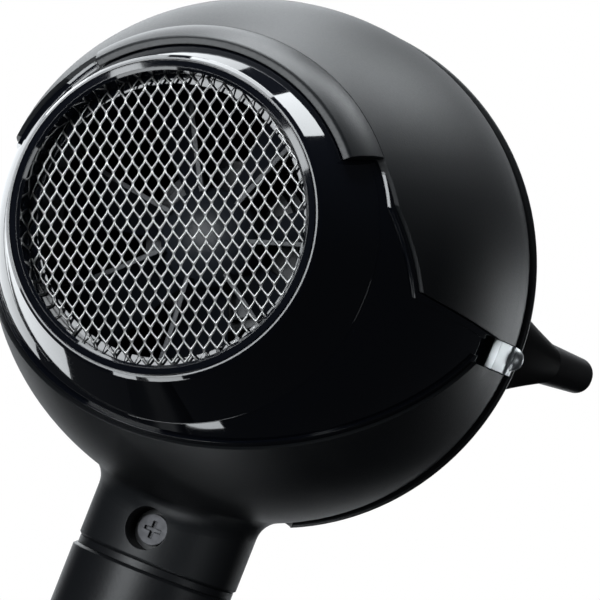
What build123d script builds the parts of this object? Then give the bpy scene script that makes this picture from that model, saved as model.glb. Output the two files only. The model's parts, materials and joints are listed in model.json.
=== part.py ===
from build123d import *
import math
import os

# Travel hair dryer in millimetres, +Z up. The origin is on the handle's axis, in the middle
# of the plain grip band. The air axis runs along Y: inlet towards +Y, nozzle towards -Y.
# Pieces of the head are drawn in the air frame, whose origin is the middle of the body's
# widest section, and moved into place by in_head().

# Driving sizes
body_radius = 48.0          # egg-shaped body at its widest section
tail_arc = 119.0            # side outline behind the widest section
nose_arc = 56.0             # side outline ahead of it
tail_end = 68.0             # both arcs are drawn as far as these
nose_end = 47.0
body_setback = 4.0          # widest section behind the handle's axis
shell_wall = 2.0
fit_gap = 0.15              # between fixed pieces that meet edge to edge
run_gap = 0.05              # radial clearance of running fits
move_gap = 0.35             # between pieces that move past each other

# Neck and handle
neck_radius = 15.5
neck_length = 11.3          # neck below the body's lowest point
neck_fillet = 5.0
handle_radius = 15.9
handle_wall = 2.0
grip_band = 30.0            # plain part of the handle, centred on the origin
tail_length = 18.0          # handle below the plain band
spigot_length = 13.0        # handle inside the neck
neck_ring_height = 1.3
screw_rise = 6.0            # neck screw above the neck's lower edge
screw_recess_radius = 4.0
screw_recess_depth = 6.5
screw_radius = 1.5

# Rear opening of the main shell, in the air frame's side view (along Y, up Z)
hood_seam = 51.0
strip_front = 6.2           # front end of the gloss side strips
strip_top = 2.3
strip_bottom = -3.4
strip_gap = 6.5             # sunk step between the strip and the trim plate
corner_top = (41.0, 4.6)    # where the strip widens into the opening
shoulder = (49.7, 17.0)
corner_low = (13.5, -3.4)
chin = (51.0, -37.8)
cowl_drop = 1.2             # gloss cowl below the matte surface
cowl_wall = 2.2
rim_drop = 0.5              # raised bead round the cowl's edge
rim_width = 1.4
flange_reach = 3.0          # cowl tucked under the shell

# Rear ring, hood and grille insert
ring_base = 53.0
ring_tip = 71.0
lip_radius = 27.5
ring_wall = 2.2
hood_tail = 61.5
hood_half_angle = 49.0
hood_wall = 1.4
hood_gap = 0.25
hood_crown = 0.75           # fullness of the hood's outline between seam and tail
hood_round = 0.84
ring_edge = 0.9             # ring's outer edge outside the lip
ring_bevel = 1.0            # that edge ahead of the ring's tip
ring_round = 0.8
lip_bevel = 0.26            # ring's outside turned in by this at its tip
insert_shoulder = 1.0       # step that the grille insert stops against
bore_land = 5.0
frame_bevel = 0.5           # grille frame's front edge: crest, outer and inner heights
frame_crest = 0.3
frame_outer = 0.1
frame_inner = 0.2
insert_wall = 1.7
insert_depth = 9.0
mesh_recess = 4.6
mesh_rise = 1.6
mesh_thickness = 0.6
mesh_long = 8.6
mesh_short = 4.8
mesh_strand = 0.8
mesh_knot = 1.8             # strand width at a diamond's tips, in strands
dome_middle = (0.6, 0.66)   # a point on the mesh's dome, in radii and rises
retainer_size = 1.6

# Front shell, barrel and concentrator
front_seam = 10.0           # front shell's rim ahead of the widest section
front_proud = 1.3
front_under = 1.2
front_round = 0.7
barrel_radius = 25.0
barrel_wall = 1.6
barrel_reach = 14.0         # barrel beyond the front shell
barrel_back = 16.0          # barrel inside the front shell
barrel_bevel = 0.4
collar_wall = 2.2
collar_length = 8.0
collar_setback = 2.0        # collar ahead of the front shell
nozzle_wall = 1.1
nozzle_step = 0.3           # funnel stands this far outside its socket
nozzle_length = 31.0        # socket to mouth
lip_length = 13.0           # flat lip before the mouth
lip_width = 80.0            # where the lip starts
lip_height = 8.4
waist_width = 64.0          # halfway down the funnel
waist_height = 29.0
mouth_width = 88.0
mouth_height = 7.2
nozzle_turn = 3.4           # degrees about the air axis
socket_round = 0.99         # corner radius over half the width: nearly a circle
lip_round = 0.47            # corner radius over the height
joint_lap = 0.2             # pieces of one solid overlap by this where they join
grille_ribs = 8
grille_rings = 3
grille_setback = 1.5
grille_depth = 2.0
grille_rim = 1.2
grille_hub = 4.0
grille_bar = 1.0
grille_lap = 0.6

# Side trim
trim_front = -9.6
trim_proud = 0.5
trim_bed = 1.0              # trim let into the shell's wall
trim_seat = -1.0            # the side slot is cut right through behind here
trim_split = -3.2
pin_radius = 2.3
pin_rise = 2.2
pin_lift = 0.5              # pin above the strip's middle
pin_shank = 1.15            # radius
pin_length = 4.0
pin_seat = 0.3              # spotface under the pin's head, above the body's surface
washer_proud = 0.9

# Fan, motor and heater
duct_wall = 1.5
duct_front = 8.0
fan_front = 33.0
fan_length = 12.0
fan_blades = 7
fan_hub_radius = 9.0
fan_pitch = 36.0
blade_thickness = 1.2
blade_gap = 1.0
blade_root = 3.0            # blade sunk in the hub
blade_trim = 1.0
fan_round = 3.0
fan_skin = 1.0              # hub left over the shaft's end
motor_radius = 13.8
motor_wall = 1.2
motor_front = -4.0
motor_length = 32.0
motor_cap = 2.4
cap_spigot = 2.5
bearing_radius = 4.0
bearing_rise = 1.0
mount_length = 14.0
mount_wall = 1.6
stator_vanes = 6
vane_lean = 14.0
vane_share = 0.8            # of the mount's length
vane_thickness = 1.2
vane_lap = 1.0
shaft_radius = 1.15
shaft_reach = 1.5
rotor_radius = 9.6
rotor_slots = 5
rotor_slot_depth = 2.5
rotor_slot_width = 1.6
magnet_wall = 2.4
magnet_front = 6.0          # magnets and rotor inside the can's two ends
magnet_back = 4.0
magnet_gap = 6.0
heater_radius = 20.5
mica_tube_wall = 0.6
mica_tube_gap = 0.6
heater_rear = -8.0
heater_length = 36.0
board_thickness = 0.8
coil_turns = 9
coil_wire = 0.5
notch_depth = 3.0
hairline = 0.001
thermostat_size = (9.0, 12.0, 5.0)
thermostat_place = (8.0, 9.0)
contact_size = (4.0, 6.0, 0.6)
contact_place = (8.0, 0.8)
fuse_radius = 1.6
fuse_length = 10.0
fuse_lead = (0.35, 22.0)    # radius and length
fuse_place = (-8.0, 12.0)
board_margin = 1.0
board_depth = 1.4           # rectifier board behind the heater
diode_ring = 7.0
diode_radius = 0.9
diode_length = 4.0
diode_count = 4

# Handle fittings
handle_bevel = 0.5
boss_wall = 1.5
front_boss_wall = 2.2
head_radius = 2.9           # screws
head_height = 1.9
cross_length = 3.2
cross_depth = 0.8
cross_width = 0.7
screw_reach = 8.0
shank_lap = 0.5
neck_ring_drop = 0.35
plate_ledge = 2.0           # handle wall under the switch plate's edges
plate_width = 15.0
plate_length = 34.0
plate_drop = 2.0            # switch plate below the handle's top edge
plate_margin = 1.0          # switch plate above the plain band
plate_proud = 0.7
plate_depth = 2.4
slider_travel = 2.5
slider_width = 9.0
slider_height = 6.5
slider_proud = 2.4
slider_round = 0.8
slider_ribs = (1.7, 0.4)    # pitch and radius of the grooves
stem_width = 3.4
stem_height = 4.0
foot_setback = 1.6
foot_overhang = 1.0
foot_thickness = 1.2
stem_lap = 0.4
power_drop = 14.5           # slider middles below the plate's top edge
heat_drop = 26.5
button_radius = 3.1
button_flange = 0.6
button_drop = 4.8
button_travel = 1.5
button_proud = 1.9
button_round = 0.7
button_setback = 1.2
flange_depth = 1.0
spring_length = 3.2         # between button and board
spring_radius = 2.0
spring_wire = 0.3
spring_turns = 4
switch_board_depth = 1.4
switch_board_margin = (3.0, 5.0)
switch_size = (7.0, 1.1, 8.0)
switch_lap = 0.05
wire_radius = 1.2
wire_apart = 3.2
wire_back = 3.5
wire_low = 16.0             # wires end this far above the gland
wire_high = 4.0
cap_height = 4.2
cap_round = 2.0
cap_plug = 3.0              # end cap inside the handle
plug_wall = 2.5             # between plug and gland
gland_radius = 6.0
gland_bore = 3.6
gland_reach = 8.0
gland_inside = 9.0
loop_width = 16.0
loop_length = 22.0
loop_thickness = 3.0
loop_hole = 5.0
loop_set = 12.2             # loop pin behind the handle's axis
loop_pin_radius = 1.2
loop_lug = 2.4
loop_eye_width = 5.0
loop_eye_wall = 0.7
lug_margin = 1.2
gland_bevel = 1.2
gland_grooves = 3
groove_start = 2.4
groove_pitch = 1.8
groove_size = 0.7

TURN = 360
neck_drop = body_radius + neck_length
edge_samples = (0.0, 0.35, 0.7)
edge_match = 0.02           # how near an edge has to be to count as found
board_place = motor_front - 2.6
seam_angle = 40.0           # keeps the surface's own seam clear of the neck and the strips
plate_low = grip_band / 2 + plate_margin
plate_high = plate_low + plate_length
handle_top = plate_high + plate_drop
handle_bottom = -grip_band / 2 - tail_length
neck_bottom = handle_top + fit_gap + neck_ring_height
air_axis_height = neck_bottom + neck_drop
power_height = plate_high - power_drop
heat_height = plate_high - heat_drop
button_height = plate_high - button_drop


def in_head(shape):
    return Pos(0, body_setback, air_axis_height) * shape


def egg_arc(a):
    # the body's side outline is two arcs that meet at the widest section
    return tail_arc if a >= 0 else nose_arc


def egg_radius(a, inset=0.0):
    # radius of the body's surface, inset below it, at a distance a behind the widest section
    arc = egg_arc(a) - inset
    return math.sqrt(arc * arc - a * a) - (egg_arc(a) - body_radius)


def egg_place(radius, inset=0.0):
    # distance ahead of the widest section where the body's surface has this radius
    arc = nose_arc - inset
    return -math.sqrt(arc * arc - (radius + nose_arc - body_radius) ** 2)


def egg(inset=0.0, start=None, end=None):
    # solid within the body's surface, cut flat where it nears the two poles
    start = -nose_end if start is None else start
    end = tail_end if end is None else end
    nose = ThreePointArc(
        (egg_radius(start, inset), start),
        (egg_radius(start / 2, inset), start / 2),
        (body_radius - inset, 0),
    )
    tail = ThreePointArc(
        (body_radius - inset, 0),
        (egg_radius(end / 2, inset), end / 2),
        (egg_radius(end, inset), end),
    )
    flats = Polyline((egg_radius(end, inset), end), (0, end), (0, start), (egg_radius(start, inset), start))
    solid = revolve(make_face([nose, tail, flats]), Axis.Y, TURN)
    return Rot(0, seam_angle, 0) * solid


def turned(*outline):
    # solid of revolution about the air axis from (radius, distance back) points
    return revolve(make_face(Polyline(*outline, close=True)), Axis.Y, TURN)


def ring(outer, inner, start, end):
    return turned((inner, start), (outer, start), (outer, end), (inner, end))


def rod(radius, start, end):
    # solid cylinder along the air axis
    return turned((0, start), (radius, start), (radius, end), (0, end))


def slab(start, end):
    # everything between two planes across the air axis
    reach = 4 * body_radius
    return Pos(0, (start + end) / 2, 0) * Box(reach, end - start, reach)


def post(radius, low, high):
    # solid cylinder along Z
    return Pos(0, 0, (low + high) / 2) * Cylinder(radius, high - low)


def opening_prism(grow=0.0):
    # the rear opening's side outline, grown outwards and run through the body
    far = tail_end + flange_reach
    top = body_radius + 2 * flange_reach
    outline = Polyline(
        (strip_front, strip_bottom), corner_low, chin, (far, -top), (far, top),
        (hood_seam, top), (hood_seam, shoulder[1] + 2 * flange_reach), shoulder, corner_top,
        (strip_front, strip_top), close=True,
    )
    side = make_face(outline)
    if grow:
        side = offset(side, amount=grow, kind=Kind.INTERSECTION)
    return extrude(Plane.YZ * side, amount=2 * body_radius, both=True)


def strip_slot(start, end, grow=0.0):
    height = strip_top - strip_bottom + 2 * grow
    middle = (strip_top + strip_bottom) / 2
    return Pos(0, (start + end) / 2, middle) * Box(3 * body_radius, end - start, height)


def neck_column(radius, low, high):
    # along the handle's axis, in the air frame
    return Pos(0, -body_setback, 0) * post(radius, low, high)


def main_shell():
    behind = slab(-front_seam, tail_end)
    collar = neck_column(neck_radius + neck_fillet, -body_radius - neck_fillet, -body_radius / 2)
    body = (egg() & (behind + collar)) - opening_prism()
    body += neck_column(neck_radius, -neck_drop, -body_radius / 2) - egg(shell_wall / 2)
    crease = [e for e in body.edges() if on_neck_crease(e)]
    body = fillet(crease, neck_fillet)
    body -= strip_slot(trim_seat, strip_front + fit_gap)
    body -= egg(shell_wall)
    body -= neck_column(neck_radius - shell_wall, -neck_drop - 1, -body_radius / 2)
    body -= strip_slot(-2 * front_seam, strip_front + fit_gap) - egg(trim_bed)
    body -= pin_axis(0) * Cylinder(pin_shank + run_gap, 3 * body_radius)
    screw_hole = Pos(0, neck_radius - body_setback, screw_rise - neck_drop) * Rot(90, 0, 0)
    body -= screw_hole * Cylinder(screw_recess_radius, 2 * shell_wall + neck_fillet)
    body = body.solids().sort_by(SortBy.VOLUME)[-1]
    return in_head(chamfer(round_edges(body, neck_radius, "Z", -neck_drop), shell_wall / 4))


def round_edges(shape, radius, along, place):
    # edges of this radius, about the air axis or the handle's, in one plane across it
    found = []
    for edge in shape.edges():
        on_circle = True
        for step in edge_samples:
            p = edge.position_at(step)
            if along == "Y":
                off = max(abs(p.Y - place), abs(math.hypot(p.X, p.Z) - radius))
            else:
                off = max(abs(p.Z - place), abs(math.hypot(p.X, p.Y + body_setback) - radius))
            on_circle = on_circle and off < edge_match
        if on_circle:
            found.append(edge)
    return found


def on_neck_crease(edge):
    # the seam where the neck's cylinder meets the egg
    for step in edge_samples:
        p = edge.position_at(step)
        off_neck = abs(math.hypot(p.X, p.Y + body_setback) - neck_radius)
        on_egg = abs(math.hypot(p.X, p.Z) - egg_radius(p.Y))
        if off_neck > edge_match or on_egg > edge_match or p.Z > 0:
            return False
    return True


def rear_cowl():
    under = cowl_drop + cowl_wall
    behind = slab(strip_front - flange_reach, ring_base)
    skin = (egg(cowl_drop) - egg(under)) & opening_prism(-fit_gap)
    bead = (egg(cowl_drop - rim_drop) - egg(under)) & opening_prism(-fit_gap)
    bead = (bead - opening_prism(-rim_width)) & slab(0, hood_seam - fit_gap)
    flange = (egg(shell_wall + fit_gap) - egg(under)) & opening_prism(flange_reach)
    cowl = (skin + bead + flange) & behind
    web_front = ring_base - cowl_wall
    cowl += ring(egg_radius(web_front, cowl_drop + cowl_wall / 2), duct_inner(), web_front, ring_base)
    cowl -= strip_slot(-2 * front_seam, strip_front + fit_gap, flange_reach + fit_gap)
    cowl -= strip_slot(strip_front, strip_front + strip_gap) - egg(cowl_drop + cowl_wall / 2)
    return in_head(cowl.solids().sort_by(SortBy.VOLUME)[-1])


def duct_outer():
    return egg_radius(ring_base - cowl_wall, cowl_drop + cowl_wall) - 2 * fit_gap


def duct_inner():
    return duct_outer() - duct_wall


def ring_radius(a):
    # outside of the gloss ring, a cone from the cowl's edge to the lip
    base = egg_radius(ring_base, cowl_drop)
    share = (a - ring_base) / (ring_tip - ring_bevel - ring_base)
    return base + share * (lip_radius + ring_edge - base)


def bezel_ring():
    seat = ring_tip - insert_wall - fit_gap
    bore = lip_radius - insert_shoulder
    edge = ring_tip - ring_bevel
    wall_end = ring_base + ring_wall * 2
    body = turned(
        (ring_radius(ring_base), ring_base + fit_gap / 2),
        (ring_radius(edge), edge),
        (ring_radius(ring_tip) - lip_bevel, ring_tip),
        (lip_radius, ring_tip),
        (lip_radius, seat),
        (bore, seat),
        (bore, seat - bore_land),
        (ring_radius(wall_end) - ring_wall, wall_end),
        (duct_inner() + duct_wall, ring_base + fit_gap / 2),
    )
    circles = body.edges().filter_by(GeomType.CIRCLE)
    lip = [e for e in circles if abs(e.radius - ring_radius(edge)) < edge_match]
    return in_head(fillet(lip, ring_round))


def hood_cover():
    tail_inner = ring_radius(hood_tail) + hood_gap
    tail_outer = tail_inner + hood_wall
    start = hood_seam + fit_gap
    middle = (hood_seam + hood_tail) / 2
    seam_inner = egg_radius(hood_seam, cowl_drop - rim_drop) + fit_gap
    crown = ThreePointArc(
        (egg_radius(start), start),
        ((egg_radius(start) + tail_outer) / 2 + hood_crown, middle),
        (tail_outer, hood_tail),
    )
    inside = Polyline(
        (tail_outer, hood_tail), (tail_inner, hood_tail),
        (ring_radius(ring_base) + hood_gap, ring_base + fit_gap),
        (seam_inner, start), (egg_radius(start), start),
    )
    hood = revolve(make_face([crown, inside]), Axis.Y, TURN)
    circles = hood.edges().filter_by(GeomType.CIRCLE)
    crown_edge = [e for e in circles if abs(e.radius - tail_outer) < edge_match]
    hood = fillet(crown_edge, hood_round)
    reach = 2 * body_radius
    side = reach * math.tan(math.radians(hood_half_angle))
    fan = make_face(Polyline((0, 0), (side, reach), (-side, reach), close=True))
    return in_head(hood & extrude(Plane.XZ * fan, amount=-2 * tail_end))


def grille_frame():
    inner = lip_radius - insert_wall - move_gap / 2
    flange_front = ring_tip - insert_wall
    tube = lip_radius - insert_shoulder - fit_gap
    body = turned(
        (inner, ring_tip - insert_depth), (tube, ring_tip - insert_depth), (tube, flange_front),
        (lip_radius - fit_gap, flange_front), (lip_radius - fit_gap, ring_tip + frame_outer),
        (inner + frame_bevel, ring_tip + frame_crest), (inner, ring_tip - frame_inner),
    )
    return in_head(body)


def mesh_radius():
    return lip_radius - insert_wall - move_gap / 2 - run_gap


def dome(rise, edge, thickness):
    # shallow cap whose rim is at edge and whose middle stands rise further back
    r = mesh_radius()
    x = r * dome_middle[0]
    y = edge + rise * dome_middle[1]
    outer = ThreePointArc((r, edge), (x, y), (0, edge + rise))
    inner = ThreePointArc((0, edge + rise - thickness), (x, y - thickness), (r, edge - thickness))
    middle = Line((0, edge + rise), (0, edge + rise - thickness))
    rim = Line((r, edge - thickness), (r, edge))
    return revolve(make_face([outer, middle, inner, rim]), Axis.Y, TURN)


def inlet_mesh():
    edge = ring_tip - mesh_recess
    cap = dome(mesh_rise, edge, mesh_thickness)
    half_long = (mesh_long - mesh_strand * mesh_knot) / 2
    half_short = (mesh_short - mesh_strand) / 2
    corners = [(0, half_long), (half_short, 0), (0, -half_long), (-half_short, 0)]
    diamond = make_face(Polyline(*corners, close=True))
    limit = mesh_radius() - mesh_long / 2 - mesh_strand
    holes = []
    columns = int(2 * limit / mesh_short) + 1
    rows = int(limit / mesh_long) + 1
    for column in range(-columns, columns + 1):
        for row in range(-rows, rows + 1):
            x = column * mesh_short / 2
            z = (row + (column % 2) / 2) * mesh_long
            if math.hypot(x, z) < limit:
                holes.append(Plane.XZ * (Pos(x, z, 0) * diamond))
    cutter = extrude(Sketch() + holes, amount=-(ring_tip + insert_depth))
    return in_head((cap - cutter).solids().sort_by(SortBy.VOLUME)[-1])


def mesh_retainer():
    edge = ring_tip - mesh_recess - mesh_thickness - run_gap
    return in_head(ring(mesh_radius(), mesh_radius() - retainer_size, edge - retainer_size, edge))


def front_shell():
    ahead = slab(-nose_end, -front_seam - fit_gap)
    shell = (egg(-front_proud) - egg(front_under)) & ahead
    shell -= rod(barrel_radius + run_gap, -2 * nose_end, 0)
    clear = neck_radius + neck_fillet + fit_gap
    shell -= neck_column(clear, -2 * body_radius, -body_radius / 2)
    shell = shell.solids().sort_by(SortBy.VOLUME)[-1]
    rim_place = -front_seam - fit_gap
    rim = round_edges(shell, egg_radius(rim_place, -front_proud), "Y", rim_place)
    return in_head(fillet(rim, front_round))


def barrel_mouth():
    return egg_place(barrel_radius, -front_proud) - barrel_reach


def outlet_barrel():
    mouth = barrel_mouth()
    tube = ring(barrel_radius, barrel_radius - barrel_wall, mouth, mouth + barrel_reach + barrel_back)
    return in_head(chamfer(tube.edges().group_by(Axis.Y)[0], barrel_bevel))


def outlet_grille():
    front = barrel_mouth() + grille_setback
    back = front + grille_depth
    rim_outer = barrel_radius - barrel_wall - run_gap
    rim_inner = rim_outer - grille_rim
    span = rim_inner - grille_hub
    grille = ring(rim_outer, rim_inner, front, back) + rod(grille_hub, front, back)
    for step in range(1, grille_rings + 1):
        r = grille_hub + step * span / (grille_rings + 1)
        grille += ring(r + grille_bar / 2, r - grille_bar / 2, front, back)
    middle = Pos((grille_hub + rim_inner) / 2, (front + back) / 2, 0)
    for rib in range(grille_ribs):
        bar = middle * Box(span + grille_lap, grille_depth, grille_bar)
        grille += Rot(0, rib * TURN / grille_ribs, 0) * bar
    return in_head(grille)


def collar_back():
    return barrel_mouth() + barrel_reach - collar_setback


def swivel_collar():
    inner = barrel_radius + run_gap
    return in_head(ring(inner + collar_wall, inner, collar_back() - collar_length, collar_back()))


def nozzle_section(width, height, corner, place):
    # rounded rectangle across the air axis
    sketch = RectangleRounded(width, height, corner)
    return Plane((0, place, 0), x_dir=(1, 0, 0), z_dir=(0, -1, 0)) * sketch


def nozzle_loft(inset):
    # round at the socket, narrowing through a waist to a flat lip that runs on to the mouth
    base = collar_outer() + nozzle_wall + nozzle_step - inset
    front = nozzle_socket_front()
    root = front - nozzle_length + lip_length
    socket = nozzle_section(2 * base, 2 * base, base * socket_round, front)
    waist = flat_section(waist_width, waist_height, inset, (front + root) / 2)
    lip = flat_section(lip_width, lip_height, inset, root)
    mouth = flat_section(mouth_width, mouth_height, inset, front - nozzle_length)
    return loft([socket, waist, lip]) + loft([lip, mouth], ruled=True)


def flat_section(width, height, inset, place):
    height -= 2 * inset
    return nozzle_section(width - 2 * inset, height, height * lip_round, place)


def collar_outer():
    return barrel_radius + run_gap + collar_wall + move_gap / 2


def nozzle_socket_front():
    return barrel_mouth() - move_gap


def concentrator():
    front = nozzle_socket_front()
    inner = collar_outer()
    outer = inner + nozzle_wall
    socket = ring(outer, inner, front - joint_lap, collar_back())
    stop = ring(outer - 2 * joint_lap, barrel_radius - barrel_wall, front - nozzle_wall, front)
    nozzle = (nozzle_loft(0) - nozzle_loft(nozzle_wall)) + socket + stop
    nozzle = nozzle.solids().sort_by(SortBy.VOLUME)[-1]
    return in_head(Rot(0, nozzle_turn, 0) * nozzle)


def side_plate(side, start, end, proud):
    band = egg(-proud) - egg(trim_bed)
    piece = band & strip_slot(start, end, -fit_gap)
    half = Pos(side * body_radius, 0, 0) * Box(2 * body_radius, 4 * body_radius, 4 * body_radius)
    piece = piece & half
    piece -= pin_axis(side * body_radius) * Cylinder(pin_shank + run_gap, body_radius / 2)
    seat = pin_axis(side * (pin_skin() + shell_wall)) * Cylinder(pin_radius + run_gap, 2 * shell_wall)
    return in_head(piece - seat)


def pin_place():
    return (trim_split + trim_front) / 2


def pin_height():
    return (strip_top + strip_bottom) / 2 + pin_lift


def pin_axis(x):
    return Pos(x, pin_place(), pin_height()) * Rot(0, 90, 0)


def pin_skin():
    # flat floor of the pin's spotface
    return egg_radius(pin_place(), -pin_seat)


def trim_pin(side):
    # domed head outside the trim, plain shank through it
    ball = (pin_radius**2 + pin_rise**2) / (2 * pin_rise)
    halfway = (math.pi / 2 + math.asin((ball - pin_rise) / ball)) / 2
    crown = (ball * math.cos(halfway), pin_rise - ball + ball * math.sin(halfway))
    edge = ThreePointArc((pin_radius, 0), crown, (0, pin_rise))
    rest = Polyline(
        (0, pin_rise), (0, -pin_length), (pin_shank, -pin_length), (pin_shank, 0), (pin_radius, 0),
    )
    head = revolve(make_face([edge, rest]), Axis.Y, TURN)
    seat = Pos(side * (pin_skin() + run_gap), pin_place(), pin_height())
    return in_head(seat * Rot(0, 0, -90 * side) * head)


def fan_duct():
    return in_head(ring(duct_outer(), duct_inner(), duct_front, ring_base - cowl_wall - run_gap))


def motor_back():
    return motor_front + motor_length


def motor_mount():
    start = motor_back() - mount_length
    hub_inner = motor_radius + run_gap
    hub_outer = hub_inner + mount_wall
    mount = ring(hub_outer, hub_inner, start, motor_back())
    reach = duct_inner() - run_gap
    for vane in range(stator_vanes):
        blade = Pos((hub_outer + reach) / 2, (start + motor_back()) / 2, 0)
        span = reach - hub_outer + vane_lap
        blade *= Rot(-vane_lean, 0, 0) * Box(span, mount_length * vane_share, vane_thickness)
        mount += Rot(0, vane * TURN / stator_vanes, 0) * blade
    mount = mount & rod(reach, start, motor_back())
    mount -= rod(hub_inner, start - 1, motor_back() + 1)
    return in_head(mount)


def motor_can():
    inner = motor_radius - motor_wall
    can = rod(motor_radius, motor_front, motor_back())
    can -= rod(inner, motor_front + motor_wall, motor_back() + 1)
    return in_head(can - rod(shaft_radius + run_gap, motor_front - 1, motor_front + 2 * motor_wall))


def motor_end_cap():
    start = motor_back() + run_gap
    spigot = rod(motor_radius - motor_wall - run_gap, start - cap_spigot, start)
    cap = rod(motor_radius, start, start + motor_cap)
    boss = rod(bearing_radius, start, start + motor_cap + bearing_rise)
    bore = rod(shaft_radius + run_gap, start - 2 * cap_spigot, start + 2 * motor_cap)
    return in_head(spigot + cap + boss - bore)


def motor_magnets():
    outer = motor_radius - motor_wall - run_gap
    both = ring(outer, outer - magnet_wall, motor_front + magnet_front, motor_back() - magnet_back)
    gap = Pos(0, motor_front + motor_length / 2, 0) * Box(3 * motor_radius, motor_length, magnet_gap)
    return in_head(both - gap)


def motor_shaft():
    return in_head(rod(shaft_radius, motor_front - shaft_reach, fan_front + fan_length - fan_skin))


def motor_rotor():
    start = motor_front + magnet_front
    end = motor_back() - magnet_back
    core = ring(rotor_radius, shaft_radius, start, end)
    for slot in range(rotor_slots):
        groove = Box(2 * rotor_slot_depth, end - start + 2, rotor_slot_width)
        core -= Rot(0, slot * TURN / rotor_slots, 0) * Pos(rotor_radius, (start + end) / 2, 0) * groove
    return in_head(core)


def fan_impeller():
    back = fan_front + fan_length
    tip = duct_inner() - blade_gap
    hub = rod(fan_hub_radius, fan_front, back)
    fan = fillet(hub.edges().group_by(Axis.Y)[-1], fan_round)
    root = fan_hub_radius - blade_root
    chord = (fan_length - blade_trim) / math.cos(math.radians(fan_pitch))
    leaf = Rot(fan_pitch, 0, 0) * Box(tip - root, chord, blade_thickness)
    leaf = Pos((tip + root) / 2, fan_front + fan_length / 2, 0) * leaf
    for blade in range(fan_blades):
        fan += Rot(0, blade * TURN / fan_blades, 0) * leaf
    fan = fan & rod(tip, fan_front, back)
    return in_head(fan - rod(shaft_radius, fan_front - 1, back - fan_skin))


def heater_front():
    return heater_rear - heater_length


def heater_board(across):
    # half-lapped mica boards: one slotted from the front, the other from the back
    middle = Pos(0, (heater_rear + heater_front()) / 2, 0)
    board = middle * Box(2 * heater_radius, heater_length, board_thickness)
    lap = board_thickness + 2 * run_gap
    half = heater_length / 2 + run_gap
    place = heater_front() + half / 2 if across else heater_rear - half / 2
    board -= Pos(0, place, 0) * Box(lap, half + hairline, 2 * board_thickness)
    pitch = heater_length / (coil_turns + 1)
    notch = 2 * coil_wire + 2 * run_gap
    for turn in range(1, coil_turns + 1):
        y = heater_front() + turn * pitch
        for side in (-1, 1):
            board -= Pos(side * heater_radius, y, 0) * Box(notch_depth, notch, 2 * board_thickness)
    return in_head(board if across else Rot(0, 90, 0) * board)


def heater_coils():
    pitch = heater_length / (coil_turns + 1)
    r = heater_radius - 3 * coil_wire + coil_wire + run_gap
    loops = []
    for turn in range(1, coil_turns + 1):
        loops.append(Pos(0, heater_front() + turn * pitch, 0) * Rot(90, 0, 0) * Torus(r, coil_wire))
    return in_head(Compound(children=loops))


def mica_tube():
    inner = heater_radius + mica_tube_gap
    return in_head(ring(inner + mica_tube_wall, inner, heater_front(), heater_rear))


def thermostat():
    skin = board_thickness / 2
    body = Pos(0, 0, skin + thermostat_size[2] / 2 + run_gap) * Box(*thermostat_size)
    contact = Pos(0, -contact_place[0], skin + contact_place[1]) * Box(*contact_size)
    return in_head(Pos(thermostat_place[0], heater_rear - thermostat_place[1], 0) * (body + contact))


def thermal_fuse():
    skin = board_thickness / 2
    fuse = Cylinder(fuse_radius, fuse_length) + Cylinder(*fuse_lead)
    place = Pos(fuse_place[0], heater_rear - fuse_place[1], skin + fuse_radius + run_gap)
    return in_head(place * Rot(90, 0, 0) * fuse)


def rectifier_board():
    inner = shaft_radius + 2 * board_margin
    return in_head(ring(motor_radius - board_margin, inner, board_place - board_depth, board_place))


def rectifier_diodes():
    diode = Pos(diode_ring, board_place - board_depth - diode_radius - run_gap, 0)
    diode *= Cylinder(diode_radius, diode_length)
    step = TURN / diode_count
    return in_head(Compound(children=[Rot(0, (n + 0.5) * step, 0) * diode for n in range(diode_count)]))


def handle_outside():
    outer = post(handle_radius, handle_bottom, handle_top)
    outer = chamfer(outer.edges().group_by(Axis.Z)[-1], handle_bevel)
    return outer + post(spigot_radius(), handle_top - 1, neck_bottom + spigot_length)


def spigot_radius():
    return neck_radius - shell_wall - run_gap


def handle_blank(boss_radius):
    # both halves in one, with the screw bosses that this half needs
    spigot = spigot_radius()
    inner = post(handle_radius - handle_wall, handle_bottom - 1, handle_top - 2)
    inner += post(spigot - handle_wall, handle_top - 3, neck_bottom + spigot_length + 1)
    blank = handle_outside() - inner
    for z in screw_heights():
        boss = screw_line(z, boss_radius, -2 * handle_radius, 2 * handle_radius)
        blank += boss & handle_outside()
    return blank


def half_space(side):
    reach = 4 * (handle_top - handle_bottom)
    return Pos(0, side * reach / 2, 0) * Box(reach, reach, reach)


def screw_line(z, radius, start, end):
    # cylinder along Y through the handle
    return Pos(0, (start + end) / 2, z) * Rot(90, 0, 0) * Cylinder(radius, end - start)


def screw_heights():
    return [neck_bottom + screw_rise, -grip_band / 2 - plate_margin - screw_recess_radius]


def recess_floor():
    return neck_radius - screw_recess_depth


def handle_rear():
    shell = handle_blank(screw_recess_radius + boss_wall) & half_space(1)
    for z in screw_heights():
        shell -= screw_line(z, screw_recess_radius, recess_floor(), 2 * handle_radius)
        shell -= screw_line(z, screw_radius + run_gap, -1, handle_radius)
    shell -= post(gland_radius + fit_gap, handle_bottom - 1, handle_bottom + gland_inside + 1)
    return shell.solids().sort_by(SortBy.VOLUME)[-1]


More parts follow.
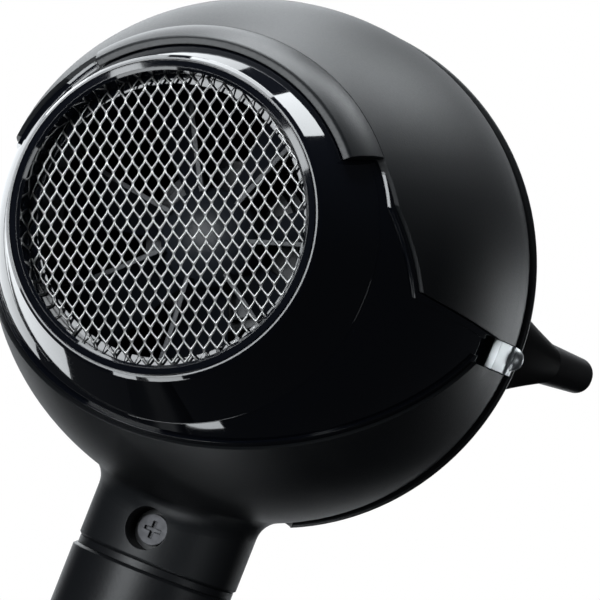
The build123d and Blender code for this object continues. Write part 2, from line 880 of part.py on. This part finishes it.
def handle_front():
    shell = handle_blank(screw_radius + front_boss_wall) & half_space(-1)
    for z in screw_heights():
        shell -= screw_line(z, screw_radius, -screw_reach, 1)
    shell -= post(gland_radius + fit_gap, handle_bottom - 1, handle_bottom + gland_inside + 1)
    middle = (plate_low + plate_high) / 2
    height = plate_high - plate_low
    back = plate_back()
    pocket = Box(plate_width + 2 * fit_gap, handle_radius, height + 2 * fit_gap)
    shell -= Pos(0, -back - handle_radius / 2, middle) * pocket
    window = Box(plate_width - 2 * plate_ledge, 2 * handle_radius - 4 * plate_ledge, height - plate_ledge)
    shell -= Pos(0, -handle_radius, middle) * window
    return shell.solids().sort_by(SortBy.VOLUME)[-1]


def plate_back():
    return handle_radius - plate_depth


def screw(z):
    crown = recess_floor() + head_height
    head = screw_line(z, head_radius, recess_floor(), crown)
    for turn in (0, 90):
        head -= Pos(0, crown, z) * Rot(0, turn, 0) * Box(cross_length, 2 * cross_depth, cross_width)
    return head + screw_line(z, screw_radius - run_gap, 1 - screw_reach, recess_floor() + shank_lap)


def neck_ring():
    low = handle_top + run_gap
    bore = post(neck_radius - shell_wall, low - 1, neck_bottom + 1)
    return post(neck_radius - neck_ring_drop, low, neck_bottom - run_gap) - bore


def switch_plate():
    middle = (plate_low + plate_high) / 2
    height = plate_high - plate_low
    back = plate_back()
    blank = Pos(0, -back - handle_radius / 2, middle) * Box(plate_width, handle_radius, height)
    plate = blank & post(handle_radius + plate_proud, plate_low - 1, plate_high + 1)
    slot_height = stem_height + 2 * slider_travel + 2 * fit_gap
    slot = Box(stem_width + 2 * move_gap, 2 * handle_radius, slot_height + 2 * move_gap)
    for z in (power_height, heat_height):
        plate -= Pos(0, -handle_radius, z) * slot
    plate -= screw_line(button_height, button_radius + move_gap, -2 * handle_radius, 0)
    return plate


def slider(z):
    face = handle_radius + plate_proud + move_gap
    cap = Pos(0, -face - slider_proud / 2, z) * Box(slider_width, slider_proud, slider_height)
    cap = fillet(cap.edges().filter_by(Axis.Z), slider_round)
    pitch, groove_radius = slider_ribs
    for rib in (-1, 0, 1):
        groove = Rot(0, 90, 0) * Cylinder(groove_radius, slider_width + 1)
        cap -= Pos(0, -face - slider_proud, z + rib * pitch) * groove
    inside = plate_back() - foot_setback
    stem = Pos(0, -(face + inside) / 2, z) * Box(stem_width, face - inside + stem_lap, stem_height)
    foot = Box(stem_width + 2 * foot_overhang, foot_thickness, stem_height)
    return cap + stem + Pos(0, -inside + stem_lap / 2, z) * foot


def button_inside():
    return plate_back() - button_setback


def cool_button():
    tip = handle_radius + plate_proud + button_proud
    button = screw_line(button_height, button_radius, -tip, -button_inside())
    button = fillet(button.faces().sort_by(Axis.Y)[0].edges(), button_round)
    flange_end = flange_depth - button_inside()
    return button + screw_line(button_height, button_radius + button_flange, -button_inside(), flange_end)


def button_spring():
    # drawn at its pressed length, which leaves the button's travel clear
    start = flange_depth - button_inside() + run_gap + button_travel
    end_gap = spring_wire + run_gap
    pitch = (spring_length - button_travel - 2 * end_gap) / (spring_turns - 1)
    coils = []
    for turn in range(spring_turns):
        coil = Pos(0, start + end_gap + turn * pitch, button_height)
        coils.append(coil * Rot(90, 0, 0) * Torus(spring_radius, spring_wire))
    return Compound(children=coils)


def switch_board():
    front = flange_depth - button_inside() + 2 * run_gap + spring_length
    middle = (plate_low + plate_high) / 2
    width = plate_width - switch_board_margin[0]
    height = plate_high - plate_low - switch_board_margin[1]
    board = Pos(0, front + switch_board_depth / 2, middle) * Box(width, switch_board_depth, height)
    for z in (power_height, heat_height):
        board += Pos(0, front + switch_lap - switch_size[1] / 2, z) * Box(*switch_size)
    return board


def supply_wires():
    wire = post(wire_radius, handle_bottom + gland_inside + wire_low, neck_bottom - wire_high)
    return Compound(children=[Pos(side * wire_apart, wire_back, 0) * wire for side in (-1, 1)])


def end_cap():
    top = handle_bottom - run_gap
    cap = post(handle_radius, top - cap_height, top)
    cap = fillet(cap.edges().group_by(Axis.Z)[0], cap_round)
    plug = post(handle_radius - handle_wall - fit_gap, top - 1, top + cap_plug)
    cap += plug - post(gland_radius + plug_wall, top - 2, top + cap_plug + 1)
    lug = loop_thickness / 2 + lug_margin
    pin_z = loop_pin_height()
    for side in (-1, 1):
        x = side * (loop_eye_width / 2 + move_gap + loop_lug / 2)
        ear = Pos(x, loop_set, pin_z) * Rot(0, 90, 0) * Cylinder(lug, loop_lug)
        ear += Pos(x, loop_set, (pin_z + top - 1) / 2) * Box(loop_lug, 2 * lug, top - 1 - pin_z)
        cap += ear
    cap -= post(gland_radius + run_gap, top - 2 * cap_height, top + cap_height)
    cap -= loop_axis(loop_pin_radius + run_gap, 2 * handle_radius)
    return cap


def loop_pin_height():
    return handle_bottom - cap_height - loop_thickness / 2 - lug_margin


def loop_axis(radius, length):
    return Pos(0, loop_set, loop_pin_height()) * Rot(0, 90, 0) * Cylinder(radius, length)


def loop_pin():
    return loop_axis(loop_pin_radius, loop_eye_width + 2 * move_gap + 2 * loop_lug)


def hanging_loop():
    pin_z = loop_pin_height()
    tab_low = pin_z - loop_length + loop_width / 2
    flat = Pos(0, loop_set, tab_low) * Rot(90, 0, 0) * Cylinder(loop_width / 2, loop_thickness)
    tab = Pos(0, loop_set, (pin_z + tab_low) / 2) * Box(loop_eye_width, loop_thickness, pin_z - tab_low)
    eye = loop_axis(loop_thickness / 2 + loop_eye_wall, loop_eye_width)
    loop = flat + tab + eye
    loop -= Pos(0, loop_set, tab_low) * Rot(90, 0, 0) * Cylinder(loop_hole, loop_thickness * 4)
    return loop - loop_axis(loop_pin_radius + run_gap, 2 * handle_radius)


def cord_gland():
    low = handle_bottom - run_gap - cap_height - gland_reach
    high = handle_bottom + gland_inside
    body = post(gland_radius, low, high)
    body = chamfer(body.edges().group_by(Axis.Z)[0], gland_bevel)
    for groove in range(gland_grooves):
        z = low + groove_start + groove * groove_pitch
        core = post(gland_radius - groove_size, z - 1, z + 2)
        body -= post(gland_radius + 1, z, z + groove_size) - core
    return body - post(gland_bore, low - 1, high + 1)


def build():
    pieces = {
        "main_shell": main_shell(),
        "rear_cowl": rear_cowl(),
        "bezel_ring": bezel_ring(),
        "hood_cover": hood_cover(),
        "grille_frame": grille_frame(),
        "inlet_mesh": inlet_mesh(),
        "mesh_retainer": mesh_retainer(),
        "front_shell": front_shell(),
        "outlet_barrel": outlet_barrel(),
        "outlet_grille": outlet_grille(),
        "swivel_collar": swivel_collar(),
        "concentrator": concentrator(),
        "fan_duct": fan_duct(),
        "motor_mount": motor_mount(),
        "motor_can": motor_can(),
        "motor_end_cap": motor_end_cap(),
        "motor_magnets": motor_magnets(),
        "motor_shaft": motor_shaft(),
        "motor_rotor": motor_rotor(),
        "fan_impeller": fan_impeller(),
        "heater_board_flat": heater_board(True),
        "heater_board_upright": heater_board(False),
        "heater_coils": heater_coils(),
        "mica_tube": mica_tube(),
        "thermostat": thermostat(),
        "thermal_fuse": thermal_fuse(),
        "rectifier_board": rectifier_board(),
        "rectifier_diodes": rectifier_diodes(),
        "handle_rear": handle_rear(),
        "handle_front": handle_front(),
        "neck_screw": screw(screw_heights()[0]),
        "handle_screw": screw(screw_heights()[1]),
        "neck_ring": neck_ring(),
        "switch_plate": switch_plate(),
        "power_slider": slider(power_height),
        "heat_slider": slider(heat_height),
        "cool_button": cool_button(),
        "button_spring": button_spring(),
        "switch_board": switch_board(),
        "supply_wires": supply_wires(),
        "end_cap": end_cap(),
        "cord_gland": cord_gland(),
        "loop_pin": loop_pin(),
        "hanging_loop": hanging_loop(),
    }
    for side, name in ((-1, "left"), (1, "right")):
        pieces["trim_plate_" + name] = side_plate(side, trim_split + fit_gap, strip_front, trim_proud)
        pieces["trim_washer_" + name] = side_plate(side, trim_front, trim_split, washer_proud)
        pieces["trim_pin_" + name] = trim_pin(side)
    return pieces


os.makedirs("parts", exist_ok=True)
for node, shape in build().items():
    export_step(shape, f"parts/{node}.step")
    print(node, len(shape.solids()), round(shape.volume, 1))
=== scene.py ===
import json
import math

import bmesh
import bpy
from mathutils import Matrix, Vector


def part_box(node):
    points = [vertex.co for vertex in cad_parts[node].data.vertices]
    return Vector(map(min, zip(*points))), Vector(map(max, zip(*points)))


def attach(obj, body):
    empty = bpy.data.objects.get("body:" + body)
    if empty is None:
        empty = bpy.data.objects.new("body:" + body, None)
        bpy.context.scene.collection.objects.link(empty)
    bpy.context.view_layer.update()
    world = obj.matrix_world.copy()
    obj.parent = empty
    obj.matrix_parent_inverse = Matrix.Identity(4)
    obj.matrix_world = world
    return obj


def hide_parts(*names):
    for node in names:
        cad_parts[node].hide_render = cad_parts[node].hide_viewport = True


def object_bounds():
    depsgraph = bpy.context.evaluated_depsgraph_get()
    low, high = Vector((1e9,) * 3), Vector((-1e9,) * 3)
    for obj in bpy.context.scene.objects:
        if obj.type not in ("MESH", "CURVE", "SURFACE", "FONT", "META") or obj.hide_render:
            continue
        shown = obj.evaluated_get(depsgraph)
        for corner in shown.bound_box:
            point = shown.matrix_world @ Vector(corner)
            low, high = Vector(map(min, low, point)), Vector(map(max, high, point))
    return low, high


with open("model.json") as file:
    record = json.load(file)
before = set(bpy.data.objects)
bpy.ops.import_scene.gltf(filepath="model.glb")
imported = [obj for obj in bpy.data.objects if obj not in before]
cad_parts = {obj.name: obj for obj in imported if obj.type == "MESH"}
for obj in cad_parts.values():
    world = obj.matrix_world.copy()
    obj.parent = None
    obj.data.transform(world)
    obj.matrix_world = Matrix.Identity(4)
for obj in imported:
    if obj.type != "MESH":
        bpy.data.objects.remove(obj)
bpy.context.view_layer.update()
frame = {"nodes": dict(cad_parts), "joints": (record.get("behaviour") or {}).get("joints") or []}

# A travel hair dryer seen from behind and to one side, in metres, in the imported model's frame.
nodes = frame["nodes"]
mm = 0.001
edgeRadius = 0.25 * mm
airAxis = Vector(next(j for j in frame["joints"] if j["name"] == "fan_spin")["pos_m"])


def say(text):
    print("dryer:", text)


class Wire:
    # one shader socket that can be used in sums
    def __init__(self, mat, socket):
        self.mat = mat
        self.socket = socket

    def math(self, kind, other, flip=False):
        pair = (other, self) if flip else (self, other)
        return self.mat.add("ShaderNodeMath", {"operation": kind}, {0: pair[0], 1: pair[1]})

    def __add__(self, other):
        return self.math("ADD", other)

    def __radd__(self, other):
        return self.math("ADD", other, True)

    def __sub__(self, other):
        return self.math("SUBTRACT", other)

    def __rsub__(self, other):
        return self.math("SUBTRACT", other, True)

    def __mul__(self, other):
        return self.math("MULTIPLY", other)

    def __rmul__(self, other):
        return self.math("MULTIPLY", other, True)


class Finish:
    # a procedural material: Principled BSDF with wires into it
    def __init__(self, name, **constants):
        self.material = bpy.data.materials.new(name)
        self.material.use_nodes = True
        self.tree = self.material.node_tree
        self.tree.nodes.clear()
        output = self.tree.nodes.new("ShaderNodeOutputMaterial")
        self.shader = self.tree.nodes.new("ShaderNodeBsdfPrincipled")
        self.tree.links.new(self.shader.outputs[0], output.inputs["Surface"])
        for key, value in constants.items():
            self.set(key.replace("_", " "), value)

    def set(self, socket, value):
        target = self.shader.inputs[socket]
        if isinstance(value, Wire):
            self.tree.links.new(value.socket, target)
        elif hasattr(target.default_value, "__len__") and len(target.default_value) == 4:
            target.default_value = (*value, 1)
        else:
            target.default_value = value

    def add(self, kind, settings=None, sockets=None, out=0):
        node = self.tree.nodes.new(kind)
        for key, value in (settings or {}).items():
            setattr(node, key, value)
        for key, value in (sockets or {}).items():
            if isinstance(value, Wire):
                self.tree.links.new(value.socket, node.inputs[key])
            else:
                node.inputs[key].default_value = value
        return Wire(self, node.outputs[out])

    def place(self):
        return self.add("ShaderNodeTexCoord", out=3)

    def noise(self, scale, detail, rough, vector=None):
        return self.add("ShaderNodeTexNoise", None, {
            "Vector": vector or self.place(), "Scale": scale, "Detail": detail, "Roughness": rough})

    def bump(self, height, strength, distance):
        # surface grain on top of the small radius that every moulded edge has
        softEdge = self.add("ShaderNodeBevel", {"samples": 4}, {"Radius": edgeRadius})
        return self.add("ShaderNodeBump", None, {
            "Height": height, "Strength": strength, "Distance": distance, "Normal": softEdge})

    def blend(self, mask, low, high):
        # colour mix: low where the mask is 0, high where it is 1
        return self.add("ShaderNodeMix", {"data_type": "RGBA"}, {0: mask, 6: (*low, 1), 7: (*high, 1)}, out=2)

    def rise(self, value, low, high):
        # 0 below low, 1 above high
        return self.add("ShaderNodeMapRange", None, {0: value, 1: low, 2: high, 3: 0.0, 4: 1.0})


def satinPlastic(name, color, rough, grain, depth, tint=0.25, **constants):
    # spark-eroded moulded plastic: fine pits, faint cloudiness
    mat = Finish(name, **constants)
    cloud = mat.noise(38, 4, 0.6)
    pits = mat.noise(grain, 3, 0.65)
    darker = [c * (1 - tint) for c in color]
    lighter = [c * (1 + tint) for c in color]
    mat.set("Base Color", mat.blend(cloud * 0.5 + pits * 0.5, darker, lighter))
    mat.set("Roughness", rough + (pits - 0.5) * 0.16 + (cloud - 0.5) * 0.08)
    mat.set("Normal", mat.bump(pits, 0.35, depth))
    return mat.material


def glossPlastic(name, color, rough, **constants):
    # piano black: near-mirror coat with a trace of orange peel and dust
    mat = Finish(name, **constants)
    peel = mat.noise(180, 2, 0.4)
    dust = mat.noise(2600, 2, 0.6)
    speck = mat.rise(dust, 0.72, 0.8)
    mat.set("Base Color", mat.blend(speck * 0.5, color, [c * 4 + 0.01 for c in color]))
    mat.set("Roughness", rough + speck * 0.12 + (peel - 0.5) * 0.02)
    mat.set("Normal", mat.bump(peel, 0.06, 0.00004))
    return mat.material


def metal(name, color, rough, brushed):
    # brushed scales each axis: below 1 draws the streaks out along it
    mat = Finish(name, Metallic=1.0)
    line = mat.add("ShaderNodeMapping", None, {"Vector": mat.place(), "Scale": brushed})
    streak = mat.noise(900, 3, 0.6, line)
    stain = mat.noise(120, 3, 0.5)
    mat.set("Base Color", mat.blend(stain, [c * 0.8 for c in color], color))
    mat.set("Roughness", rough + (streak - 0.5) * 0.2)
    mat.set("Normal", mat.bump(streak, 0.15, 0.00003))
    return mat.material


def windings(name, color, rough):
    # bare wire, stained by heat
    mat = Finish(name, Metallic=1.0)
    stain = mat.noise(300, 3, 0.6)
    mat.set("Base Color", mat.blend(stain, [c * 0.6 for c in color], color))
    mat.set("Roughness", rough + (stain - 0.5) * 0.2)
    return mat.material


finishes = {
    "body_satin": satinPlastic("satinBody", (0.014, 0.0155, 0.0175), 0.47, 2600, 0.00006, IOR=1.5),
    "hood_satin": satinPlastic("satinHood", (0.013, 0.0145, 0.0165), 0.4, 2600, 0.00005, IOR=1.5),
    "gloss_black": glossPlastic("pianoBlack", (0.0058, 0.007, 0.011), 0.05, IOR=1.5, Coat_Weight=0.6,
                                Coat_Roughness=0.02),
    "grip_satin": satinPlastic("satinGrip", (0.012, 0.013, 0.015), 0.4, 2200, 0.00005, IOR=1.5),
    "mesh_steel": metal("brightMesh", (0.9, 0.9, 0.89), 0.38, (1, 1, 1)),
    "trim_silver": metal("satinTrim", (0.9, 0.94, 0.95), 0.42, (1, 0.1, 1)),
    "nozzle_black": satinPlastic("heatPlastic", (0.013, 0.0125, 0.013), 0.42, 2400, 0.00005),
    "control_grey": satinPlastic("switchPlastic", (0.035, 0.037, 0.04), 0.45, 2600, 0.00005),
    "barrel_metal": metal("darkShield", (0.09, 0.09, 0.095), 0.4, (1, 0.1, 1)),
    "fan_plastic": satinPlastic("fanPlastic", (0.03, 0.035, 0.045), 0.35, 900, 0.00003),
    "motor_steel": metal("zincSteel", (0.16, 0.165, 0.18), 0.45, (1, 0.1, 1)),
    "mica": satinPlastic("micaBoard", (0.5, 0.42, 0.3), 0.5, 500, 0.0001, 0.35),
    "heater_wire": windings("heaterWire", (0.42, 0.36, 0.32), 0.4),
    "board_green": satinPlastic("circuitBoard", (0.03, 0.13, 0.06), 0.35, 700, 0.00003),
    "wire_yellow": satinPlastic("wireSleeve", (0.6, 0.42, 0.03), 0.4, 800, 0.00003),
    "screw_steel": metal("screwSteel", (0.09, 0.09, 0.095), 0.5, (1, 1, 1)),
    "rubber_black": satinPlastic("softRubber", (0.011, 0.011, 0.012), 0.6, 1800, 0.00006),
}


def newPiece(name, bm, body, slot, replaced=()):
    mesh = bpy.data.meshes.new(name)
    bm.to_mesh(mesh)
    bm.free()
    piece = bpy.data.objects.new(name, mesh)
    bpy.context.scene.collection.objects.link(piece)
    piece.data.materials.append(finishes[slot])
    for face in mesh.polygons:
        face.use_smooth = True
    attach(piece, body)
    if replaced:
        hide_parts(*replaced)
    return piece


def dressNodes():
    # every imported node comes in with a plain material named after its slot
    for node in nodes.values():
        slot = node.data.materials[0].name.split(".")[0]
        node.data.materials.clear()
        node.data.materials.append(finishes[slot])


dressNodes()
say("finishes on")

meshSizes = {
    "longPitch": 4.23 * mm,
    "shortPitch": 2.34 * mm,
    "strand": 0.30 * mm,
    "sheet": 0.30 * mm,
    "strandCuts": 3,
    "wave": 0.07,           # how far a strand swings off straight, as a part of its sideways run
    "tilt": 0.22 * mm,      # each strand leans, as cut and pulled sheet does
    "turn": 24.0,
    "rise": 1.3 * mm,
    "curl": 0.6 * mm,
    "curlFrom": 0.965,      # of the radius
    "edgeSides": 48,
    "soften": 0.05 * mm,
}
hair = 0.001 * mm           # points nearer than this are one


def buildInletMesh():
    # one sheet of diamonds, cut round, crowned, with its edge curled in
    low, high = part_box("inlet_mesh")
    radius = (high.x - low.x) / 2
    size = meshSizes
    count = int(2.2 * radius / size["shortPitch"]) * 2      # enough cells to cover the opening turned
    bm = bmesh.new()
    bmesh.ops.create_grid(bm, x_segments=count, y_segments=count, size=count / 2)
    bmesh.ops.rotate(bm, verts=bm.verts, cent=(0, 0, 0), matrix=Matrix.Rotation(math.pi / 4, 3, "Z"))
    diagonal = math.sqrt(2)
    bmesh.ops.scale(bm, verts=bm.verts, vec=(size["shortPitch"] / diagonal, size["longPitch"] / diagonal, 1))
    outside = [f for f in bm.faces if f.calc_center_median().length > radius + size["strand"]]
    bmesh.ops.delete(bm, geom=outside, context="FACES")
    bmesh.ops.bisect_edges(bm, edges=bm.edges, cuts=size["strandCuts"])
    for vert in bm.verts:
        waveStrand(vert, size["shortPitch"] / 2, size["longPitch"] / 2, size["wave"])
    holes = list(bm.faces)
    bmesh.ops.inset_individual(bm, faces=holes, thickness=size["strand"] / 2, depth=0, use_even_offset=True)
    for hole in holes:
        middle = hole.calc_center_median()
        for vert in hole.verts:
            vert.co.z += size["tilt"] * (vert.co.y - middle.y) / (size["longPitch"] / 2)
    bmesh.ops.delete(bm, geom=holes, context="FACES")
    turned = Matrix.Rotation(math.radians(size["turn"]), 3, "Z")
    bmesh.ops.rotate(bm, verts=bm.verts, cent=(0, 0, 0), matrix=turned)
    trimMesh(bm, radius, size["edgeSides"])
    bmesh.ops.recalc_face_normals(bm, faces=bm.faces)
    bmesh.ops.solidify(bm, geom=list(bm.faces), thickness=size["sheet"])
    for vert in bm.verts:
        reach = min(vert.co.xy.length / radius, 1)
        vert.co.z += size["rise"] * (1 - reach**2)
        if reach > size["curlFrom"]:
            vert.co.z -= size["curl"] * ((reach - size["curlFrom"]) / (1 - size["curlFrom"]))**1.5
    bmesh.ops.rotate(bm, verts=bm.verts, cent=(0, 0, 0), matrix=Matrix.Rotation(-math.pi / 2, 3, "X"))
    edge = low.y + size["curl"] + size["sheet"] + size["tilt"]
    bmesh.ops.translate(bm, verts=bm.verts, vec=(airAxis.x, edge, airAxis.z))
    bmesh.ops.recalc_face_normals(bm, faces=bm.faces)
    piece = newPiece("expandedMesh", bm, "grille_insert", "mesh_steel", ["inlet_mesh"])
    soften = piece.modifiers.new("softEdges", "BEVEL")
    soften.width = size["soften"]
    soften.segments = 1
    soften.limit_method = "ANGLE"


def waveStrand(vert, across, along, wave):
    # a strand leaves each joint along the sheet's long way and crosses over in its middle
    step = vert.co.y / along
    done = step - math.floor(step)
    column = vert.co.x / across
    rightward = abs(column - done - round(column - done)) < 0.01    # else the strand leans left
    swing = across * wave * math.sin(2 * math.pi * done)
    vert.co.x -= swing if rightward else -swing


def trimMesh(bm, radius, sides):
    # cut to a round edge with planes across it
    for side in range(sides):
        angle = 2 * math.pi * side / sides
        out = Vector((math.cos(angle), math.sin(angle), 0))
        everything = list(bm.verts) + list(bm.edges) + list(bm.faces)
        bmesh.ops.bisect_plane(bm, geom=everything, dist=hair, plane_co=out * radius, plane_no=out,
                               clear_outer=True)


buildInletMesh()
say("inlet mesh")

fanSizes = {
    "blades": 7,
    "hub": 9.0 * mm,
    "crown": 5.0 * mm,      # height of the hub's dome
    "bore": 1.2 * mm,
    "axialRun": 10.2 * mm,  # each blade's reach along the air axis
    "rootLean": 24.0,       # degrees off the axis at the hub and at the tip
    "tipLean": 50.0,
    "camber": 1.1 * mm,
    "thickness": 0.9 * mm,
    "clear": 0.3 * mm,
    "rootSunk": 1.0 * mm,   # blade inside the hub
    "shaftCover": 2.0 * mm,
    "domeSteps": 12,
    "hubSteps": 48,
    "crispAngle": 40.0,
}


def buildFan():
    # twisted blades round a domed hub
    low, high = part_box("fan_impeller")
    size = fanSizes
    middle = Vector((airAxis.x, (low.y + high.y) / 2, airAxis.z))
    tip = (high.x - low.x) / 2 - size["clear"]
    root = size["hub"] - size["rootSunk"]
    bm = bmesh.new()
    bmesh.ops.create_grid(bm, x_segments=10, y_segments=8, size=0.5)
    for vert in bm.verts:
        out, chord = vert.co.x + 0.5, vert.co.y
        lean = math.radians(size["rootLean"] + out * (size["tipLean"] - size["rootLean"]))
        aside = chord * size["axialRun"] * math.tan(lean) + size["camber"] * (1 - (2 * chord)**2)
        reach = root + out * (tip - root)
        turn = aside / reach
        vert.co = (reach * math.cos(turn), chord * size["axialRun"], reach * math.sin(turn))
    bmesh.ops.solidify(bm, geom=list(bm.faces), thickness=size["thickness"])
    others = size["blades"] - 1
    bmesh.ops.spin(bm, geom=list(bm.verts) + list(bm.edges) + list(bm.faces), cent=(0, 0, 0), axis=(0, 1, 0),
                   angle=2 * math.pi * others / size["blades"], steps=others, use_duplicate=True)
    half = (high.y - low.y) / 2
    quarter = [math.pi / 2 / size["domeSteps"] * n for n in range(size["domeSteps"] + 1)]
    dome = [(size["hub"] * math.sin(a), half - size["crown"] * (1 - math.cos(a))) for a in quarter]
    profile = dome + [(size["hub"], -half), (size["bore"], -half), (size["bore"], half - size["shaftCover"])]
    rim = [bm.verts.new((x, y, 0)) for x, y in profile]
    line = [bm.edges.new(pair) for pair in zip(rim, rim[1:])]
    bmesh.ops.spin(bm, geom=rim + line, cent=(0, 0, 0), axis=(0, 1, 0), angle=2 * math.pi,
                   steps=size["hubSteps"], use_merge=True)
    bmesh.ops.remove_doubles(bm, verts=bm.verts, dist=hair)
    bmesh.ops.holes_fill(bm, edges=[e for e in bm.edges if e.is_boundary], sides=0)
    bmesh.ops.recalc_face_normals(bm, faces=bm.faces)
    bmesh.ops.translate(bm, verts=bm.verts, vec=middle)
    piece = newPiece("bladedFan", bm, "fan", "fan_plastic", ["fan_impeller"])
    crisp = piece.modifiers.new("crispEdges", "EDGE_SPLIT")
    crisp.split_angle = math.radians(size["crispAngle"])


buildFan()
say("fan")

seamSizes = {
    "bead": 0.24 * mm,      # radius of the bead where the ring meets the cowl
    "proud": 0.05 * mm,
    "sides": 10,
    "steps": 160,
}


def buildSeamBead():
    # fine raised line round the foot of the gloss ring
    low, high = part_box("bezel_ring")
    size = seamSizes
    bm = bmesh.new()
    bmesh.ops.create_circle(bm, segments=size["sides"], radius=size["bead"])
    outward = (high.x - low.x) / 2 - size["bead"] + size["proud"]
    bmesh.ops.translate(bm, verts=bm.verts, vec=(airAxis.x + outward, low.y, airAxis.z))
    bmesh.ops.spin(bm, geom=list(bm.verts) + list(bm.edges), cent=airAxis, axis=(0, 1, 0), angle=2 * math.pi,
                   steps=size["steps"], use_merge=True)
    bmesh.ops.remove_doubles(bm, verts=bm.verts, dist=hair)
    bmesh.ops.recalc_face_normals(bm, faces=bm.faces)
    newPiece("seamBead", bm, "housing", "gloss_black")


buildSeamBead()
say("seam bead")

cameraSizes = {
    "around": 16.0,         # degrees past straight behind
    "lift": -0.3,
    "roll": 21.5,
    "distance": 1.0,
    "lens": 325.0,
    "right": 7.84 * mm,     # aim point beside and below the body's middle
    "down": 4.19 * mm,
    "sensor": 36.0,
    "clipStart": 0.01,
}


def makeCamera():
    c = cameraSizes
    around = math.radians(c["around"])
    lift = math.radians(c["lift"])
    back = Vector((-math.sin(around) * math.cos(lift), math.cos(around) * math.cos(lift), math.sin(lift)))
    level = Vector((0, 0, 1)).cross(back).normalized()
    up = back.cross(level)
    aim = airAxis + level * c["right"] - up * c["down"]
    roll = math.radians(c["roll"])
    camX = level * math.cos(roll) + up * math.sin(roll)
    camY = up * math.cos(roll) - level * math.sin(roll)
    place = aim + back * c["distance"]
    data = bpy.data.cameras.new("camera")
    data.lens = c["lens"]
    data.sensor_width = c["sensor"]
    data.clip_start = c["clipStart"]
    camera = bpy.data.objects.new("camera", data)
    bpy.context.scene.collection.objects.link(camera)
    camera.matrix_world = Matrix((
        (camX.x, camY.x, back.x, place.x),
        (camX.y, camY.y, back.y, place.y),
        (camX.z, camY.z, back.z, place.z),
        (0, 0, 0, 1),
    ))
    bpy.context.scene.camera = camera


def areaLight(name, place, target, width, height, power, color):
    data = bpy.data.lights.new(name, "AREA")
    data.shape = "RECTANGLE"
    data.size = width
    data.size_y = height
    data.energy = power
    data.color = color
    light = bpy.data.objects.new(name, data)
    bpy.context.scene.collection.objects.link(light)
    light.location = place
    light.rotation_mode = "QUATERNION"
    light.rotation_quaternion = (Vector(target) - Vector(place)).to_track_quat("-Z", "Y")
    light.visible_camera = False


paleBlue = (0.93, 0.97, 1.0)
studioSizes = {
    # place, width, height, power; each card faces the air axis
    "overhead": ((0.30, -0.10, 0.98), 1.2, 0.6, 12.0),
    "ringCard": ((-0.15, -0.69, 0.88), 0.34, 0.3, 1.4),
    "hoodCard": ((0.66, -0.85, 0.62), 0.8, 0.7, 3.6),
    "backPanel": ((0.55, -1.2, 0.05), 1.3, 1.1, 5.0),
    "rimCard": ((-0.40, -1.36, 0.20), 0.25, 0.3, 1.1),
    "meshKey": ((0.42, 1.45, 0.22), 0.8, 0.7, 13.0),
    "sideCard": ((-1.0, 0.45, 0.10), 0.2, 0.3, 0.5),
    "underCard": ((0.0, -0.33, -0.85), 0.5, 0.3, 1.5),
    "lowCard": ((-0.10, 0.30, -0.75), 0.6, 0.3, 2.2),
}


floorSizes = {
    "radius": 1.0,
    "sides": 96,
    "below": 4 * mm,
    "glow": 0.55,
}


def makeStudio():
    for name, (place, width, height, power) in studioSizes.items():
        areaLight(name, place, airAxis, width, height, power, paleBlue)
    bm = bmesh.new()
    size = floorSizes
    bmesh.ops.create_circle(bm, cap_ends=True, segments=size["sides"], radius=size["radius"])
    bmesh.ops.translate(bm, verts=bm.verts, vec=(0, 0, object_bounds()[0].z - size["below"]))
    mesh = bpy.data.meshes.new("floor")
    bm.to_mesh(mesh)
    bm.free()
    floor = bpy.data.objects.new("floor", mesh)
    bpy.context.scene.collection.objects.link(floor)
    paper = Finish("floorPaper", Roughness=0.9)
    fibre = paper.noise(60, 4, 0.6)
    paper.set("Base Color", paper.blend(fibre, (0.9, 0.9, 0.9), (0.93, 0.93, 0.93)))
    paper.set("Emission Color", (1, 1, 1))
    paper.set("Emission Strength", size["glow"])
    mesh.materials.append(paper.material)
    floor.visible_glossy = False    # as black card would keep it off the gloss
    floor.visible_diffuse = False


def makeWorld():
    # white to the camera, nearly black to everything else, so only the cards show in the gloss
    world = bpy.data.worlds.new("studio")
    world.use_nodes = True
    tree = world.node_tree
    tree.nodes.clear()
    out = tree.nodes.new("ShaderNodeOutputWorld")
    pale = tree.nodes.new("ShaderNodeBackground")
    dim = tree.nodes.new("ShaderNodeBackground")
    mix = tree.nodes.new("ShaderNodeMixShader")
    path = tree.nodes.new("ShaderNodeLightPath")
    pale.inputs[0].default_value = (1, 1, 1, 1)
    dim.inputs[0].default_value = (0.012, 0.013, 0.015, 1)
    tree.links.new(path.outputs["Is Camera Ray"], mix.inputs[0])
    tree.links.new(dim.outputs[0], mix.inputs[1])
    tree.links.new(pale.outputs[0], mix.inputs[2])
    tree.links.new(mix.outputs[0], out.inputs[0])
    bpy.context.scene.world = world
    bpy.context.scene.view_settings.view_transform = "Standard"


makeCamera()
makeStudio()
makeWorld()
say("camera and studio")
